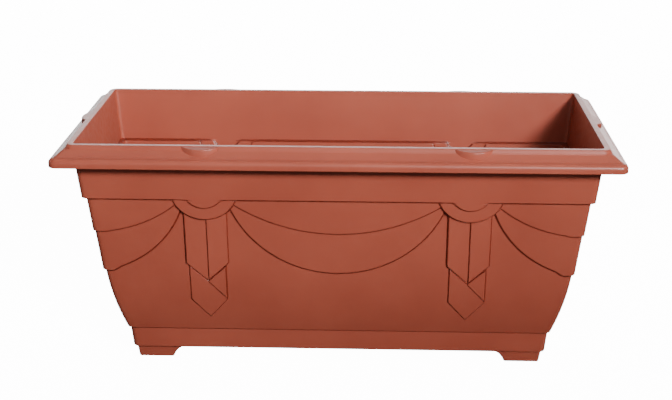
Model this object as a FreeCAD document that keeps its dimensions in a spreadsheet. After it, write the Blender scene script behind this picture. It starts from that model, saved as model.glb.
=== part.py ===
# Window box planter: a long tapered trough with a down-turned rim, a raised frieze,
# two layers of swags hung from half-round medallions, folded ribbon tails, a set-back
# base band and four hollow corner feet.  Millimetres, +X along the long side, +Z up,
# origin on the floor under the middle of the trough.
#
# Everything on the trough steps in by the same amount on all four sides, so a level is
# one pair of numbers: its height, and its "reach", the distance of the end face from
# the middle.  The long faces lie "flank" closer to the middle than the end faces.
import FreeCAD, Part
import math
import os

import Sketcher

DRIVING = (
    ("length", 600.0, "rim, outside, long way"),
    ("width", 270.0, "rim, outside, short way"),
    ("height", 270.0, "floor to the top of the rim"),
    ("wall", 2.5, "wall of the moulding"),
    ("corner_radius", 7.0, "plan radius of the trough's corners, outside"),
    ("rim_radius", 9.0, "plan radius of the rim's corners, outside"),
    ("land_width", 6.3, "flat top of the rim"),
    ("drop_run", 2.0, "short drop beside the flat top, outward"),
    ("drop_fall", 4.3, "short drop beside the flat top, downward"),
    ("slope_run", 9.1, "slope of the rim, outward"),
    ("slope_fall", 6.7, "slope of the rim, downward"),
    ("bead_radius", 5.5, "round of the rim's bead"),
    ("skirt_fall", 4.5, "upright skirt below the bead"),
    ("frieze_level", 206.5, "height of the frieze's lower edge"),
    ("frieze_inset", 26.4, "frieze's lower edge, in from the rim's edge"),
    ("frieze_relief", 7.9, "frieze, out from the body"),
    ("waist_level", 120.0, "height where the body starts to curve in"),
    ("waist_inset", 43.2, "body at the waist, in from the rim's edge"),
    ("hem_inset", 61.0, "body's lower edge, in from the rim's edge"),
    ("base_level", 40.0, "height of the base band's upper edge"),
    ("base_top_inset", 63.2, "base band's upper edge, in from the rim's edge"),
    ("base_low_inset", 65.4, "base band's lower edge, in from the rim's edge"),
    ("foot_height", 14.6, "floor to the underside of the trough"),
    ("medallion_offset", 142.0, "long side's medallions, out from the middle"),
    ("medallion_level", 219.5, "height of the medallions' centres"),
    ("disc_radius", 23.7, "medallion's disc"),
    ("ring_radius", 38.5, "medallion's ring"),
    ("ring_relief", 5.8, "medallion's ring, out from the body"),
    ("upper_swag_relief", 3.6, "upper swag, out from the body"),
    ("lower_swag_relief", 2.0, "lower swag, out from the body"),
    ("upper_swag_level", 164.8, "lowest point of the upper swags"),
    ("lower_swag_level", 116.8, "lowest point of the lower swags"),
    ("upper_swag_radius", 202.0, "upper swag between the medallions"),
    ("lower_swag_radius", 126.0, "lower swag between the medallions"),
    ("upper_corner_radius", 147.0, "upper swag that turns the corner, long side"),
    ("lower_corner_radius", 120.0, "lower swag that turns the corner, long side"),
    ("lower_corner_past", 20.3, "that swag's centre, past the corner"),
    ("upper_end_radius", 90.0, "upper swag on an end"),
    ("lower_end_radius", 63.6, "lower swag on an end"),
    ("ribbon_half_width", 24.0, "pleated ribbon, half"),
    ("pleat_high", 2.4, "pleat's raised edge, out from the body"),
    ("pleat_low", 0.5, "pleat's sunk edge, out from the body"),
    ("ribbon_level", 129.0, "height of the ribbon's lower corners"),
    ("ribbon_tip_level", 106.5, "height of the ribbon's lower tip"),
    ("tail_half_width", 20.6, "ribbon's tail, half"),
    ("tail_relief", 1.7, "tail's side folds, out from the body"),
    ("diamond_relief", 0.8, "tail's diamond, out from the body"),
    ("diamond_gap", 1.2, "diamond's top below the ribbon's tip"),
    ("tail_level", 83.0, "height of the tail's side corners"),
    ("tail_tip_level", 58.3, "height of the tail's tip"),
    ("floor_thickness", 3.0, "floor of the trough"),
    ("drain_radius", 5.0, "drain hole"),
    ("drain_spread", 150.0, "drain holes, along the trough from the middle"),
    ("drain_row", 34.0, "drain holes, across the trough from the middle"),
    ("foot_inset", 69.2, "foot's outer face, in from the rim's edge"),
    ("foot_long", 58.0, "foot at its top, along the trough"),
    ("foot_short", 44.0, "foot at its top, across the trough"),
    ("foot_sweep", 16.0, "cut-back of the foot's inner ends at the floor"),
    ("foot_curve", 20.0, "radius of the hollow cut-back on the long side"),
    ("foot_draft", 8.0, "draft of the foot's sides, degrees"),
    ("lug_radius", 28.0, "plan radius of a rim lug"),
    ("lug_reach_in", 8.0, "lug's front, in from the rim's edge"),
    ("lug_top_drop", 0.5, "lug's top below the rim, at the root"),
    ("lug_tilt", 1.2, "fall of the lug's top to its front"),
)

DERIVED = (
    ("flank", "=(length - width) / 2"),
    ("rim_reach", "=length / 2"),
    ("bead_reach", "=rim_reach - bead_radius"),
    ("drop_reach", "=bead_reach - slope_run"),
    ("land_reach", "=drop_reach - drop_run"),
    ("throat_reach", "=land_reach - land_width"),
    ("drop_level", "=height - drop_fall"),
    ("bead_level", "=drop_level - slope_fall"),
    ("skirt_level", "=bead_level - bead_radius"),
    ("rim_low_level", "=skirt_level - skirt_fall"),
    ("wall_top_level", "=height - wall"),
    ("wall_top_reach", "=throat_reach + wall"),
    ("frieze_reach", "=rim_reach - frieze_inset"),
    ("body_top_reach", "=frieze_reach - frieze_relief"),
    ("waist_reach", "=rim_reach - waist_inset"),
    ("hem_reach", "=rim_reach - hem_inset"),
    ("base_top_reach", "=rim_reach - base_top_inset"),
    ("base_low_reach", "=rim_reach - base_low_inset"),
    ("foot_reach", "=rim_reach - foot_inset"),
    ("floor_level", "=foot_height + floor_thickness"),
    ("floor_low_reach", "=base_low_reach - wall"),
    ("floor_top_reach", "=floor_low_reach + floor_thickness * (base_top_reach - base_low_reach)"
                        " / (base_level - foot_height)"),
    ("throat_radius", "=corner_radius - wall"),
    ("bead_corner_radius", "=rim_radius - bead_radius"),
    ("slope_thickness", "=wall * sqrt(1 + (slope_fall / slope_run) ^ 2)"),
    ("skirt_inner_reach", "=rim_reach - wall"),
    ("bead_inner_level", "=bead_level - slope_thickness"),
    ("drop_inner_reach", "=drop_reach - wall"),
    ("drop_inner_level", "=bead_inner_level + slope_fall * (bead_reach - drop_inner_reach)"
                         " / slope_run"),
    ("land_inner_reach", "=land_reach - wall / 2"),
    ("lug_front_reach", "=rim_reach - lug_reach_in"),
    ("lug_top_level", "=height - lug_top_drop"),
    ("lug_root_reach", "=land_reach + drop_run * lug_top_drop / drop_fall"),
    ("lug_front_level", "=lug_top_level - lug_tilt"),
    ("lug_foot_level", "=drop_level - slope_fall * (lug_front_reach - drop_reach) / slope_run"),
    ("lug_centre_reach", "=lug_front_reach - lug_radius"),
    ("foot_side_reach", "=foot_reach - flank"),
    ("foot_in_x", "=foot_reach - foot_long"),
    ("foot_in_y", "=foot_side_reach - foot_short"),
    ("foot_low_x", "=foot_in_x + foot_sweep"),
    ("foot_low_y", "=foot_in_y + foot_sweep"),
    ("foot_wall", "=wall + foot_height * tan(foot_draft)"),
    ("cavity_out_x", "=foot_reach - foot_wall"),
    ("cavity_out_y", "=foot_side_reach - foot_wall"),
    ("cavity_in_x", "=foot_low_x + foot_wall"),
    ("cavity_in_y", "=foot_low_y + foot_wall"),
)

doc = FreeCAD.newDocument("WindowBoxPlanter")
sheet = doc.addObject("Spreadsheet::Sheet", "Sizes")


def fill_sheet():
    """Write the driving sizes and the sizes that follow from them."""
    for row, (alias, value, meaning) in enumerate(DRIVING, start=1):
        sheet.set("A%d" % row, meaning)
        sheet.set("B%d" % row, str(value))
        sheet.setAlias("B%d" % row, alias)
    first = len(DRIVING) + 2
    for row, (alias, _) in enumerate(DERIVED, start=first):
        sheet.setAlias("B%d" % row, alias)
    for row, (alias, formula) in enumerate(DERIVED, start=first):
        sheet.set("A%d" % row, alias.replace("_", " "))
        sheet.set("B%d" % row, formula)
    doc.recompute()


def size(alias):
    """Value of one cell of the sheet, in mm."""
    return float(sheet.get(alias))


def bind(thing, prop, expression):
    """Tie a property of a document object to the sheet."""
    thing.setExpression(prop, expression)


def cell(alias):
    return "Sizes." + alias


# ---------------------------------------------------------------- sketches


def attach(body, sketch, role, offset=None):
    """Lay a sketch on one of its body's origin planes, raised by a sheet cell."""
    plane = next(f for f in body.Origin.OriginFeatures if f.Role == role)
    sketch.AttachmentSupport = [(plane, "")]
    sketch.MapMode = "FlatFace"
    if offset:
        bind(sketch, ".AttachmentOffset.Base.z", offset)


def hold(sketch, kind, refs, value, expression):
    """Add one dimension to a sketch and tie it to the sheet."""
    index = sketch.addConstraint(Sketcher.Constraint(kind, *refs, value))
    bind(sketch, "Constraints[%d]" % index, expression)


def pin_point(sketch, geo, end, x, y):
    """Fix one end of an edge: x and y are (value, expression) pairs."""
    hold(sketch, "DistanceX", (-1, 1, geo, end), *x)
    hold(sketch, "DistanceY", (-1, 1, geo, end), *y)


def at(alias, sign=1):
    """A coordinate that equals a cell, or its negative."""
    return sign * size(alias), ("-" if sign < 0 else "") + cell(alias)


def zero():
    return 0.0, "0 * " + cell("wall")


def rounded_rectangle(body, name, reach, level, radius):
    """Level outline of the trough: reach, level and radius are cells."""
    sketch = body.newObject("Sketcher::SketchObject", name)
    attach(body, sketch, "XY_Plane", cell(level))
    half_x = size(reach)
    half_y = half_x - size("flank")
    r = size(radius)
    spots = ((1, -1), (1, 1), (-1, 1), (-1, -1))
    lines = []
    for index, (sx, sy) in enumerate(spots):
        ex, ey = spots[(index + 1) % 4]
        run_x, run_y = (ex - sx) / 2, (ey - sy) / 2
        start = FreeCAD.Vector(sx * half_x + run_x * r, sy * half_y + run_y * r, 0)
        end = FreeCAD.Vector(ex * half_x - run_x * r, ey * half_y - run_y * r, 0)
        lines.append(sketch.addGeometry(Part.LineSegment(start, end), False))
    arcs = []
    for index, (sx, sy) in enumerate(spots):
        middle = FreeCAD.Vector(sx * (half_x - r), sy * (half_y - r), 0)
        begin = math.radians(90 * (index - 1))
        circle = Part.Circle(middle, FreeCAD.Vector(0, 0, 1), r)
        arcs.append(sketch.addGeometry(Part.ArcOfCircle(circle, begin, begin + math.pi / 2), False))
    for index in range(4):
        kind = "Vertical" if index % 2 == 0 else "Horizontal"
        sketch.addConstraint(Sketcher.Constraint(kind, lines[index]))
        sketch.addConstraint(Sketcher.Constraint("Tangent", arcs[index], 2, lines[index], 1))
        sketch.addConstraint(Sketcher.Constraint("Tangent", lines[index - 1], 2, arcs[index], 1))
    for index in range(1, 4):
        sketch.addConstraint(Sketcher.Constraint("Equal", arcs[0], arcs[index]))
    long_way = cell(reach)
    short_way = "(%s - %s)" % (cell(reach), cell("flank"))
    hold(sketch, "Radius", (arcs[0],), r, cell(radius))
    hold(sketch, "DistanceX", (-1, 1, lines[0], 1), half_x, long_way)
    hold(sketch, "DistanceX", (-1, 1, lines[2], 1), -half_x, "-" + long_way)
    hold(sketch, "DistanceY", (-1, 1, lines[1], 1), half_y, short_way)
    hold(sketch, "DistanceY", (-1, 1, lines[3], 1), -half_y, "-" + short_way)
    return sketch


def polygon(body, name, role, corners):
    """Closed outline whose corners are pairs of (value, expression) coordinates."""
    sketch = body.newObject("Sketcher::SketchObject", name)
    attach(body, sketch, role)
    spots = [FreeCAD.Vector(x[0], y[0], 0) for x, y in corners]
    for index, spot in enumerate(spots):
        sketch.addGeometry(Part.LineSegment(spot, spots[(index + 1) % len(spots)]), False)
    for index, (x, y) in enumerate(corners):
        sketch.addConstraint(Sketcher.Constraint("Coincident", index - 1 if index else len(spots) - 1,
                                                 2, index, 1))
        pin_point(sketch, index, 1, x, y)
    return sketch


# ---------------------------------------------------------------- rim


def loft(body, kind, name, sections):
    """Ruled loft through level outlines."""
    feature = body.newObject("PartDesign::" + kind, name)
    feature.Profile = sections[0]
    feature.Sections = sections[1:]
    feature.Ruled = True
    return feature


def pad(body, name, sketch, length):
    feature = body.newObject("PartDesign::Pad", name)
    feature.Profile = sketch
    bind(feature, "Length", length)
    return feature


def pocket_through(body, name, sketch):
    """Cut an outline right through, both ways from its plane."""
    feature = body.newObject("PartDesign::Pocket", name)
    feature.Profile = sketch
    feature.Type = "ThroughAll"
    feature.Midplane = True
    return feature


def level_edges(shape, level):
    """Names of the edges that lie wholly at one height."""
    return ["Edge%d" % n for n, edge in enumerate(shape.Edges, start=1)
            if abs(edge.BoundBox.ZMin - level) < 0.01 and abs(edge.BoundBox.ZMax - level) < 0.01]


def rim():
    """Down-turned rim: flat top, short drop, slope, round bead and upright skirt."""
    body = doc.addObject("PartDesign::Body", "Rim")
    body.Label = "rim"
    skirt = rounded_rectangle(body, "SkirtOutline", "rim_reach", "rim_low_level", "rim_radius")
    skirt_pad = pad(body, "Skirt", skirt, "Sizes.bead_level - Sizes.rim_low_level")
    doc.recompute()
    bead = body.newObject("PartDesign::Fillet", "Bead")
    bead.Base = (skirt_pad, level_edges(skirt_pad.Shape, size("bead_level")))
    bind(bead, "Radius", cell("bead_radius"))
    slope = [rounded_rectangle(body, "Slope" + name, reach, level, "bead_corner_radius")
             for name, reach, level in (("Low", "bead_reach", "bead_level"),
                                        ("High", "drop_reach", "drop_level"))]
    loft(body, "AdditiveLoft", "Slope", slope)
    land = [rounded_rectangle(body, "Land" + name, reach, level, "rim_radius")
            for name, reach, level in (("Low", "drop_reach", "drop_level"),
                                       ("High", "land_reach", "height"))]
    loft(body, "AdditiveLoft", "Land", land)
    hollow = [rounded_rectangle(body, "Hollow%d" % n, reach, level, "bead_corner_radius")
              for n, (reach, level) in enumerate((("skirt_inner_reach", "rim_low_level"),
                                                  ("skirt_inner_reach", "skirt_level"),
                                                  ("bead_reach", "bead_inner_level"),
                                                  ("drop_inner_reach", "drop_inner_level"),
                                                  ("land_inner_reach", "wall_top_level")))]
    loft(body, "SubtractiveLoft", "Hollow", hollow)
    throat = rounded_rectangle(body, "ThroatOutline", "throat_reach", "height", "throat_radius")
    pocket_through(body, "Throat", throat)
    return body


LUG_PLACES = (
    ("lug_front_left", "-Sizes.medallion_offset", "Sizes.flank", -90),
    ("lug_front_right", "Sizes.medallion_offset", "Sizes.flank", -90),
    ("lug_back_left", "-Sizes.medallion_offset", "-Sizes.flank", 90),
    ("lug_back_right", "Sizes.medallion_offset", "-Sizes.flank", 90),
    ("lug_left_end", "0 * Sizes.wall", "0 * Sizes.wall", 180),
    ("lug_right_end", "0 * Sizes.wall", "0 * Sizes.wall", 0),
)


def rim_lug(label, x, y, turn):
    """Half-round tab that stands on the rim's slope, against its short drop."""
    body = doc.addObject("PartDesign::Body", "Section_" + label)
    corners = ((at("lug_root_reach"), at("lug_top_level")),
               (at("drop_reach"), at("drop_level")),
               (at("lug_front_reach"), at("lug_foot_level")),
               (at("lug_front_reach"), at("lug_front_level")))
    section = polygon(body, "Outline_" + label, "XZ_Plane", corners)
    block = pad(body, "Block_" + label, section, "2 * Sizes.lug_radius")
    block.Midplane = True
    round_form = doc.addObject("Part::Cylinder", "Round_" + label)
    bind(round_form, "Radius", cell("lug_radius"))
    bind(round_form, "Height", cell("height"))
    bind(round_form, "Placement.Base.x", cell("lug_centre_reach"))
    lug = doc.addObject("Part::Common", "Lug_" + label)
    lug.Label = label
    lug.Base = body
    lug.Tool = round_form
    lug.Placement = FreeCAD.Placement(FreeCAD.Vector(), FreeCAD.Rotation(FreeCAD.Vector(0, 0, 1), turn))
    bind(lug, "Placement.Base.x", x)
    bind(lug, "Placement.Base.y", y)
    return lug


# ---------------------------------------------------------------- floor and feet


def floor():
    """Bottom of the trough, with two rows of drain holes."""
    body = doc.addObject("PartDesign::Body", "Floor")
    body.Label = "trough_floor"
    levels = [rounded_rectangle(body, "FloorLow", "floor_low_reach", "foot_height", "throat_radius"),
              rounded_rectangle(body, "FloorHigh", "floor_top_reach", "floor_level", "throat_radius")]
    loft(body, "AdditiveLoft", "FloorPlate", levels)
    holes = body.newObject("Sketcher::SketchObject", "DrainHoles")
    attach(body, holes, "XY_Plane")
    for step in (-1, 1):
        for side in (-1, 1):
            x, y = step * size("drain_spread"), side * size("drain_row")
            circle = Part.Circle(FreeCAD.Vector(x, y, 0), FreeCAD.Vector(0, 0, 1), size("drain_radius"))
            hole = holes.addGeometry(circle, False)
            hold(holes, "Radius", (hole,), size("drain_radius"), cell("drain_radius"))
            pin_point(holes, hole, 3, (x, "%d * %s" % (step, cell("drain_spread"))),
                      (y, "%d * %s" % (side, cell("drain_row"))))
    pocket_through(body, "Drains", holes)
    return body


def sweep_cut(body, name, inner, low):
    """Hollow curve that cuts a foot's inner end back towards the floor."""
    sketch = body.newObject("Sketcher::SketchObject", name + "Outline")
    attach(body, sketch, "XZ_Plane")
    top = FreeCAD.Vector(-size(inner), size("foot_height"), 0)
    heel = FreeCAD.Vector(-size(inner), 0, 0)
    toe = FreeCAD.Vector(-size(low), 0, 0)
    sketch.addGeometry(Part.LineSegment(top, heel), False)
    sketch.addGeometry(Part.LineSegment(heel, toe), False)
    chord = top - toe
    middle = (top + toe) * 0.5
    off = math.sqrt(size("foot_curve") ** 2 - (chord.Length / 2) ** 2)
    centre = middle + FreeCAD.Vector(chord.y, -chord.x, 0).normalize() * off
    start = math.atan2(top.y - centre.y, top.x - centre.x)
    end = math.atan2(toe.y - centre.y, toe.x - centre.x)
    circle = Part.Circle(centre, FreeCAD.Vector(0, 0, 1), size("foot_curve"))
    sketch.addGeometry(Part.ArcOfCircle(circle, start, end + (0 if end > start else 2 * math.pi)), False)
    sketch.addConstraint(Sketcher.Constraint("Coincident", 0, 2, 1, 1))
    sketch.addConstraint(Sketcher.Constraint("Coincident", 2, 1, 0, 1))
    sketch.addConstraint(Sketcher.Constraint("Coincident", 2, 2, 1, 2))
    pin_point(sketch, 0, 1, at(inner, -1), at("foot_height"))
    pin_point(sketch, 1, 1, at(inner, -1), zero())
    pin_point(sketch, 1, 2, at(low, -1), zero())
    hold(sketch, "Radius", (2,), size("foot_curve"), cell("foot_curve"))
    return pocket_through(body, name, sketch)


def rectangle(body, name, x_out, y_out, x_in, y_in, level=None):
    """Rectangle in the front left quarter, between two corners named by cells."""
    xs = (at(x_out, -1), at(x_in, -1))
    ys = (at(y_out, -1), at(y_in, -1))
    corners = ((xs[0], ys[0]), (xs[1], ys[0]), (xs[1], ys[1]), (xs[0], ys[1]))
    sketch = polygon(body, name, "XY_Plane", corners)
    if level:
        bind(sketch, ".AttachmentOffset.Base.z", cell(level))
    return sketch


def foot():
    """Front left foot: drafted, cut back at both inner ends, open below and inside."""
    body = doc.addObject("PartDesign::Body", "FootFrontLeft")
    body.Label = "foot_front_left"
    plan = rectangle(body, "FootPlan", "foot_reach", "foot_side_reach", "foot_in_x", "foot_in_y",
                     "foot_height")
    block = pad(body, "FootBlock", plan, cell("foot_height"))
    block.Reversed = True
    bind(block, "TaperAngle", "-" + cell("foot_draft"))
    sweep_cut(body, "FootSweep", "foot_in_x", "foot_low_x")
    slope = polygon(body, "FootSlopeOutline", "YZ_Plane", ((at("foot_in_y", -1), at("foot_height")),
                                                           (at("foot_in_y", -1), zero()),
                                                           (at("foot_low_y", -1), zero())))
    pocket_through(body, "FootSlope", slope)
    cavity = rectangle(body, "FootCavityPlan", "cavity_out_x", "cavity_out_y", "cavity_in_x",
                       "cavity_in_y")
    pocket_through(body, "FootCavity", cavity)
    return body


def mirrored(source, label, normal):
    """Mirror image of a piece across a plane through the middle."""
    twin = doc.addObject("Part::Mirroring", label)
    twin.Label = label
    twin.Source = source
    twin.Normal = normal
    return twin


# ---------------------------------------------------------------- trough walls


def level_wire(reach, level, radius):
    """Outline of the trough at one height, with round corners or, at no radius, sharp ones."""
    half_x = reach
    half_y = reach - size("flank")
    spots = ((1, -1), (1, 1), (-1, 1), (-1, -1))
    if not radius:
        corners = [FreeCAD.Vector(sx * half_x, sy * half_y, level) for sx, sy in spots]
        return Part.makePolygon(corners + corners[:1])
    edges = []
    for index, (sx, sy) in enumerate(spots):
        ex, ey = spots[(index + 1) % 4]
        run = FreeCAD.Vector((ex - sx) / 2, (ey - sy) / 2, 0)
        start = FreeCAD.Vector(sx * half_x, sy * half_y, level) + run * radius
        end = FreeCAD.Vector(ex * half_x, ey * half_y, level) - run * radius
        edges.append(Part.LineSegment(start, end).toShape())
        middle = FreeCAD.Vector(ex * (half_x - radius), ey * (half_y - radius), level)
        angle = 90 * index
        edges.append(Part.makeCircle(radius, middle, FreeCAD.Vector(0, 0, 1), angle, angle + 90))
    return Part.Wire(edges)


def between(level, low, high):
    """Reach at a height on the straight line through two (level, reach) cells."""
    low_level, low_reach = size(low[0]), size(low[1])
    high_level, high_reach = size(high[0]), size(high[1])
    return low_reach + (high_reach - low_reach) * (level - low_level) / (high_level - low_level)


def base_reach(level):
    return between(level, ("foot_height", "base_low_reach"), ("base_level", "base_top_reach"))


def frieze_reach(level):
    return between(level, ("frieze_level", "frieze_reach"), ("wall_top_level", "wall_top_reach"))


def body_reach(level):
    """Body's outline: straight above the waist, curving in below it."""
    straight = between(level, ("waist_level", "waist_reach"), ("frieze_level", "body_top_reach"))
    below = size("waist_level") - level
    if below <= 0:
        return straight
    depth = size("waist_level") - size("base_level")
    missed = between(size("base_level"), ("waist_level", "waist_reach"),
                     ("frieze_level", "body_top_reach")) - size("hem_reach")
    return straight - missed * (below / depth) ** 2


def band(outline, low, high, offset, radius, parts=1):
    """Solid between two heights whose outline is a reach function plus an offset."""
    levels = [low + (high - low) * n / parts for n in range(parts + 1)]
    wires = [level_wire(outline(level) + offset, level, radius) for level in levels]
    return Part.makeLoft(wires, True, True)


def body_layer(offset, low, high, radius):
    """Body's form, moved out by an offset: curved up to the waist, straight above it."""
    waist = size("waist_level")
    upper = band(body_reach, max(low, waist), high, offset, radius)
    if low >= waist:
        return upper
    lower = band(body_reach, low, waist, offset, radius, parts=3)
    return lower.fuse(upper)


def disc(u, level, radius):
    """Round through-cutter on the front, its axis square to the face."""
    return Part.makeCylinder(radius, size("length"), FreeCAD.Vector(u, 0, level),
                             FreeCAD.Vector(0, -1, 0))


def plate(points):
    """Straight-edged through-cutter on the front, its corners as (u, level)."""
    corners = [FreeCAD.Vector(u, 0, level) for u, level in points]
    face = Part.Face(Part.makePolygon(corners + corners[:1]))
    return face.extrude(FreeCAD.Vector(0, -size("length"), 0))


def join(shapes):
    shapes = list(shapes)
    return shapes[0].multiFuse(shapes[1:]) if len(shapes) > 1 else shapes[0]


def swag_cutters(kind, is_long, inset):
    """Discs whose lower edges are the lower edges of one layer of swags."""
    low = size(kind + "_swag_level")
    edge = body_reach(low) + size(kind + "_swag_relief")
    if is_long:
        middle = size(kind + "_swag_radius")
        corner = size(kind + "_corner_radius")
        past = size("lower_corner_past") if kind == "lower" else 0.0
    else:
        edge -= size("flank")
        middle = 0.0
        corner = size(kind + "_end_radius")
        past = 0.0
    centre = low + math.sqrt(corner ** 2 - past ** 2)
    cutters = [disc(side * (edge + past), centre, corner - inset) for side in (-1, 1)]
    if middle:
        cutters.append(disc(0, low + middle, middle - inset))
    return join(cutters)


def pleats(u, setback):
    """Two pleats of a ribbon: each rises at its left edge and sinks to its right."""
    half = size("ribbon_half_width")
    high, low = size("pleat_high"), size("pleat_low")
    plan = ((-half, high), (0, low), (0, high), (half, low), (half, -low), (-half, -low))
    tip = size("ribbon_tip_level")
    waist = size("waist_level")
    wires = []
    for level in (tip - 1, (tip + waist) / 2, waist, size("frieze_level")):
        face = body_reach(level) - setback
        spots = [FreeCAD.Vector(u + across, -(face + out), level) for across, out in plan]
        wires.append(Part.makePolygon(spots + spots[:1]))
    shoulder = size("ribbon_level")
    top = size("frieze_level")
    outline = plate(((u - half, shoulder), (u, tip), (u + half, shoulder), (u + half, top),
                     (u - half, top)))
    return Part.makeLoft(wires, True, True).common(outline)


def ribbon(u, setback, layer):
    """Ribbon under a medallion: two pleats, two side folds and a diamond."""
    half = size("tail_half_width")
    tip, tail, point = (size(name) for name in ("ribbon_tip_level", "tail_level", "tail_tip_level"))
    fall = (size("ribbon_level") - tip) / size("ribbon_half_width")
    peak = tip - size("diamond_gap")
    folds = plate(((u - half, tip + fall * half), (u, tip), (u + half, tip + fall * half),
                   (u + half, tail), (u, peak), (u - half, tail)))
    diamond = plate(((u, peak), (u + half, tail), (u, point), (u - half, tail)))
    return [pleats(u, setback), layer(size("tail_relief")).common(folds),
            layer(size("diamond_relief")).common(diamond)]


def half_form(is_long, inset):
    """Trough's outer form on one face, or the same form moved in by the wall.

    Built on the front; an end's form is turned into place by end_turn().
    """
    radius = 0.0 if inset else size("corner_radius")
    base, frieze = size("base_level") + inset, size("frieze_level") + inset
    setback = size("flank") if is_long else 0.0
    centres = (-size("medallion_offset"), size("medallion_offset")) if is_long else (0.0,)

    def layer(relief):
        solid = body_layer(relief - inset, base, frieze, radius)
        return solid if is_long else end_turn(solid, back=True)

    form = [band(base_reach, size("foot_height"), base, -inset, radius),
            body_layer(-inset, base, frieze, radius),
            band(frieze_reach, frieze, size("wall_top_level"), -inset, radius)]
    if not is_long:
        form = [end_turn(piece, back=True) for piece in form]
    level = size("medallion_level")
    for kind in ("upper", "lower"):
        form.append(layer(size(kind + "_swag_relief")).common(swag_cutters(kind, is_long, inset)))
    rings = join(disc(u, level, size("ring_radius") - inset) for u in centres)
    form.append(layer(size("ring_relief")).common(rings))
    discs = join(disc(u, level, size("disc_radius") - inset) for u in centres)
    form.append(layer(size("frieze_relief")).common(discs))
    if not inset:
        for u in centres:
            form.extend(ribbon(u, setback, layer))
    return join(form)


def end_turn(shape, back=False):
    """Turn a form from the front to the left end, or back."""
    turned = shape.copy()
    turned.rotate(FreeCAD.Vector(), FreeCAD.Vector(0, 0, 1), 90 if back else -90)
    return turned


def sector(is_long):
    """Space of the front wall, or of the left end turned to the front, up to the mitres."""
    flank = size("flank")
    far = size("length")
    if is_long:
        spots = ((-flank, 0), (flank, 0), (flank + far, -far), (-flank - far, -far))
    else:
        spots = ((0, -flank), (far, -flank - far), (-far, -flank - far))
    corners = [FreeCAD.Vector(x, y, 0) for x, y in spots]
    face = Part.Face(Part.makePolygon(corners + corners[:1]))
    return face.extrude(FreeCAD.Vector(0, 0, size("height")))


def wall(name, label, is_long):
    """One wall of the trough, of even thickness, from mitre to mitre."""
    solid = half_form(is_long, 0.0).cut(half_form(is_long, size("wall"))).common(sector(is_long))
    solid = solid.removeSplitter()
    if not is_long:
        solid = end_turn(solid)
    feature = doc.addObject("Part::Feature", name)
    feature.Label = label
    feature.Shape = solid.Solids[0] if len(solid.Solids) == 1 else solid
    return feature


# ---------------------------------------------------------------- assembly


def check(nodes):
    """Stop if a document object failed or a node has no valid solid."""
    for thing in doc.Objects:
        if "Invalid" in thing.State or "Error" in thing.State:
            raise RuntimeError("%s did not build: %s" % (thing.Label, thing.State))
    for node in nodes:
        shape = node.Shape
        if shape.isNull() or not shape.isValid() or not shape.Solids:
            raise RuntimeError("%s has no valid solid" % node.Label)


def build():
    fill_sheet()
    nodes = [rim(), floor(), foot()]
    nodes += [rim_lug(*place) for place in LUG_PLACES]
    front = wall("FrontWall", "wall_front", True)
    end = wall("LeftWall", "wall_left_end", False)
    doc.recompute()
    x_axis, y_axis = FreeCAD.Vector(1, 0, 0), FreeCAD.Vector(0, 1, 0)
    front_right = mirrored(nodes[2], "foot_front_right", x_axis)
    nodes += [front_right, mirrored(nodes[2], "foot_back_left", y_axis),
              mirrored(front_right, "foot_back_right", y_axis)]
    nodes += [front, mirrored(front, "wall_back", y_axis), end, mirrored(end, "wall_right_end", x_axis)]
    doc.recompute()
    check(nodes)
    os.makedirs("parts", exist_ok=True)
    for node in nodes:
        node.Shape.exportStep(os.path.join("parts", node.Label + ".step"))
        box = node.Shape.BoundBox
        print("%-18s %d solid, %d faces, x %.1f to %.1f, y %.1f to %.1f, z %.1f to %.1f" % (
            node.Label, len(node.Shape.Solids), len(node.Shape.Faces),
            box.XMin, box.XMax, box.YMin, box.YMax, box.ZMin, box.ZMax))


build()
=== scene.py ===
"""Window box planter in terracotta polypropylene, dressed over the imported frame.

One moulded skin (walls, relief, floor and drain holes), the down-turned rim, six rim lugs
and four feet.  Every shape is worked out in millimetres and turned into metres when its
mesh is made.  A level on the trough is a height and a "reach", the distance of the end
face from the middle; the long faces lie FLANK closer to the middle.
"""
from __future__ import annotations

import logging
import math
from collections.abc import Callable, Iterable, Sequence
from dataclasses import dataclass, field
from enum import Enum

import bmesh
import bpy
import numpy as np
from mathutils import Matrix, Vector
from mathutils.geometry import delaunay_2d_cdt


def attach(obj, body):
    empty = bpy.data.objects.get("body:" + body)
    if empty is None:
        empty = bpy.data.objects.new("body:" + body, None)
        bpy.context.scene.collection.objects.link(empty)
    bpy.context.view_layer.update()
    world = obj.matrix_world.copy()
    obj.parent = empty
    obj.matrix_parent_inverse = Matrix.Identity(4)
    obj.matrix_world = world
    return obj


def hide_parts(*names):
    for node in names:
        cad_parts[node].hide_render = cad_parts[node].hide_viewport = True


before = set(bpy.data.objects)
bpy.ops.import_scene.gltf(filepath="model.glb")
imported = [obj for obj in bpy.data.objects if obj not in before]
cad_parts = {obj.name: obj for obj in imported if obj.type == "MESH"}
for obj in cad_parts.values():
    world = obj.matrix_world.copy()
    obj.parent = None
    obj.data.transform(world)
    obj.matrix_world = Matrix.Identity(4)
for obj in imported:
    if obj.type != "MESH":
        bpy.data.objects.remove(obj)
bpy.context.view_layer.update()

LOG = logging.getLogger("planter")
MM = 0.001
FLANK = 165.0  # mm that the long faces lie closer to the middle than the ends do
# painted shade: this mesh attribute weights the darker red painted on the sides of steps
PAINTED_SHADE = "painted_shade"  # mesh attribute that marks the sides of steps
WELD = 0.02  # mm: closer points become one
ON_LINE = 1e-3  # mm: a closer point lies on the end of its face
CLOSE = 1e-4  # mm: closer points are one to the triangulation
INSIDE = 1  # what the triangulation gives back: the triangles inside the outline
BLUNTEST = 0.3  # limits how far a sharp corner moves when its outline is moved in

Array = np.ndarray
Point = tuple[float, float]
Place = tuple[float, float, float]
Station = tuple[float, float, float]  # reach, height and plan radius of the corners


# ---------------------------------------------------------------- numbers and lines


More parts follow.
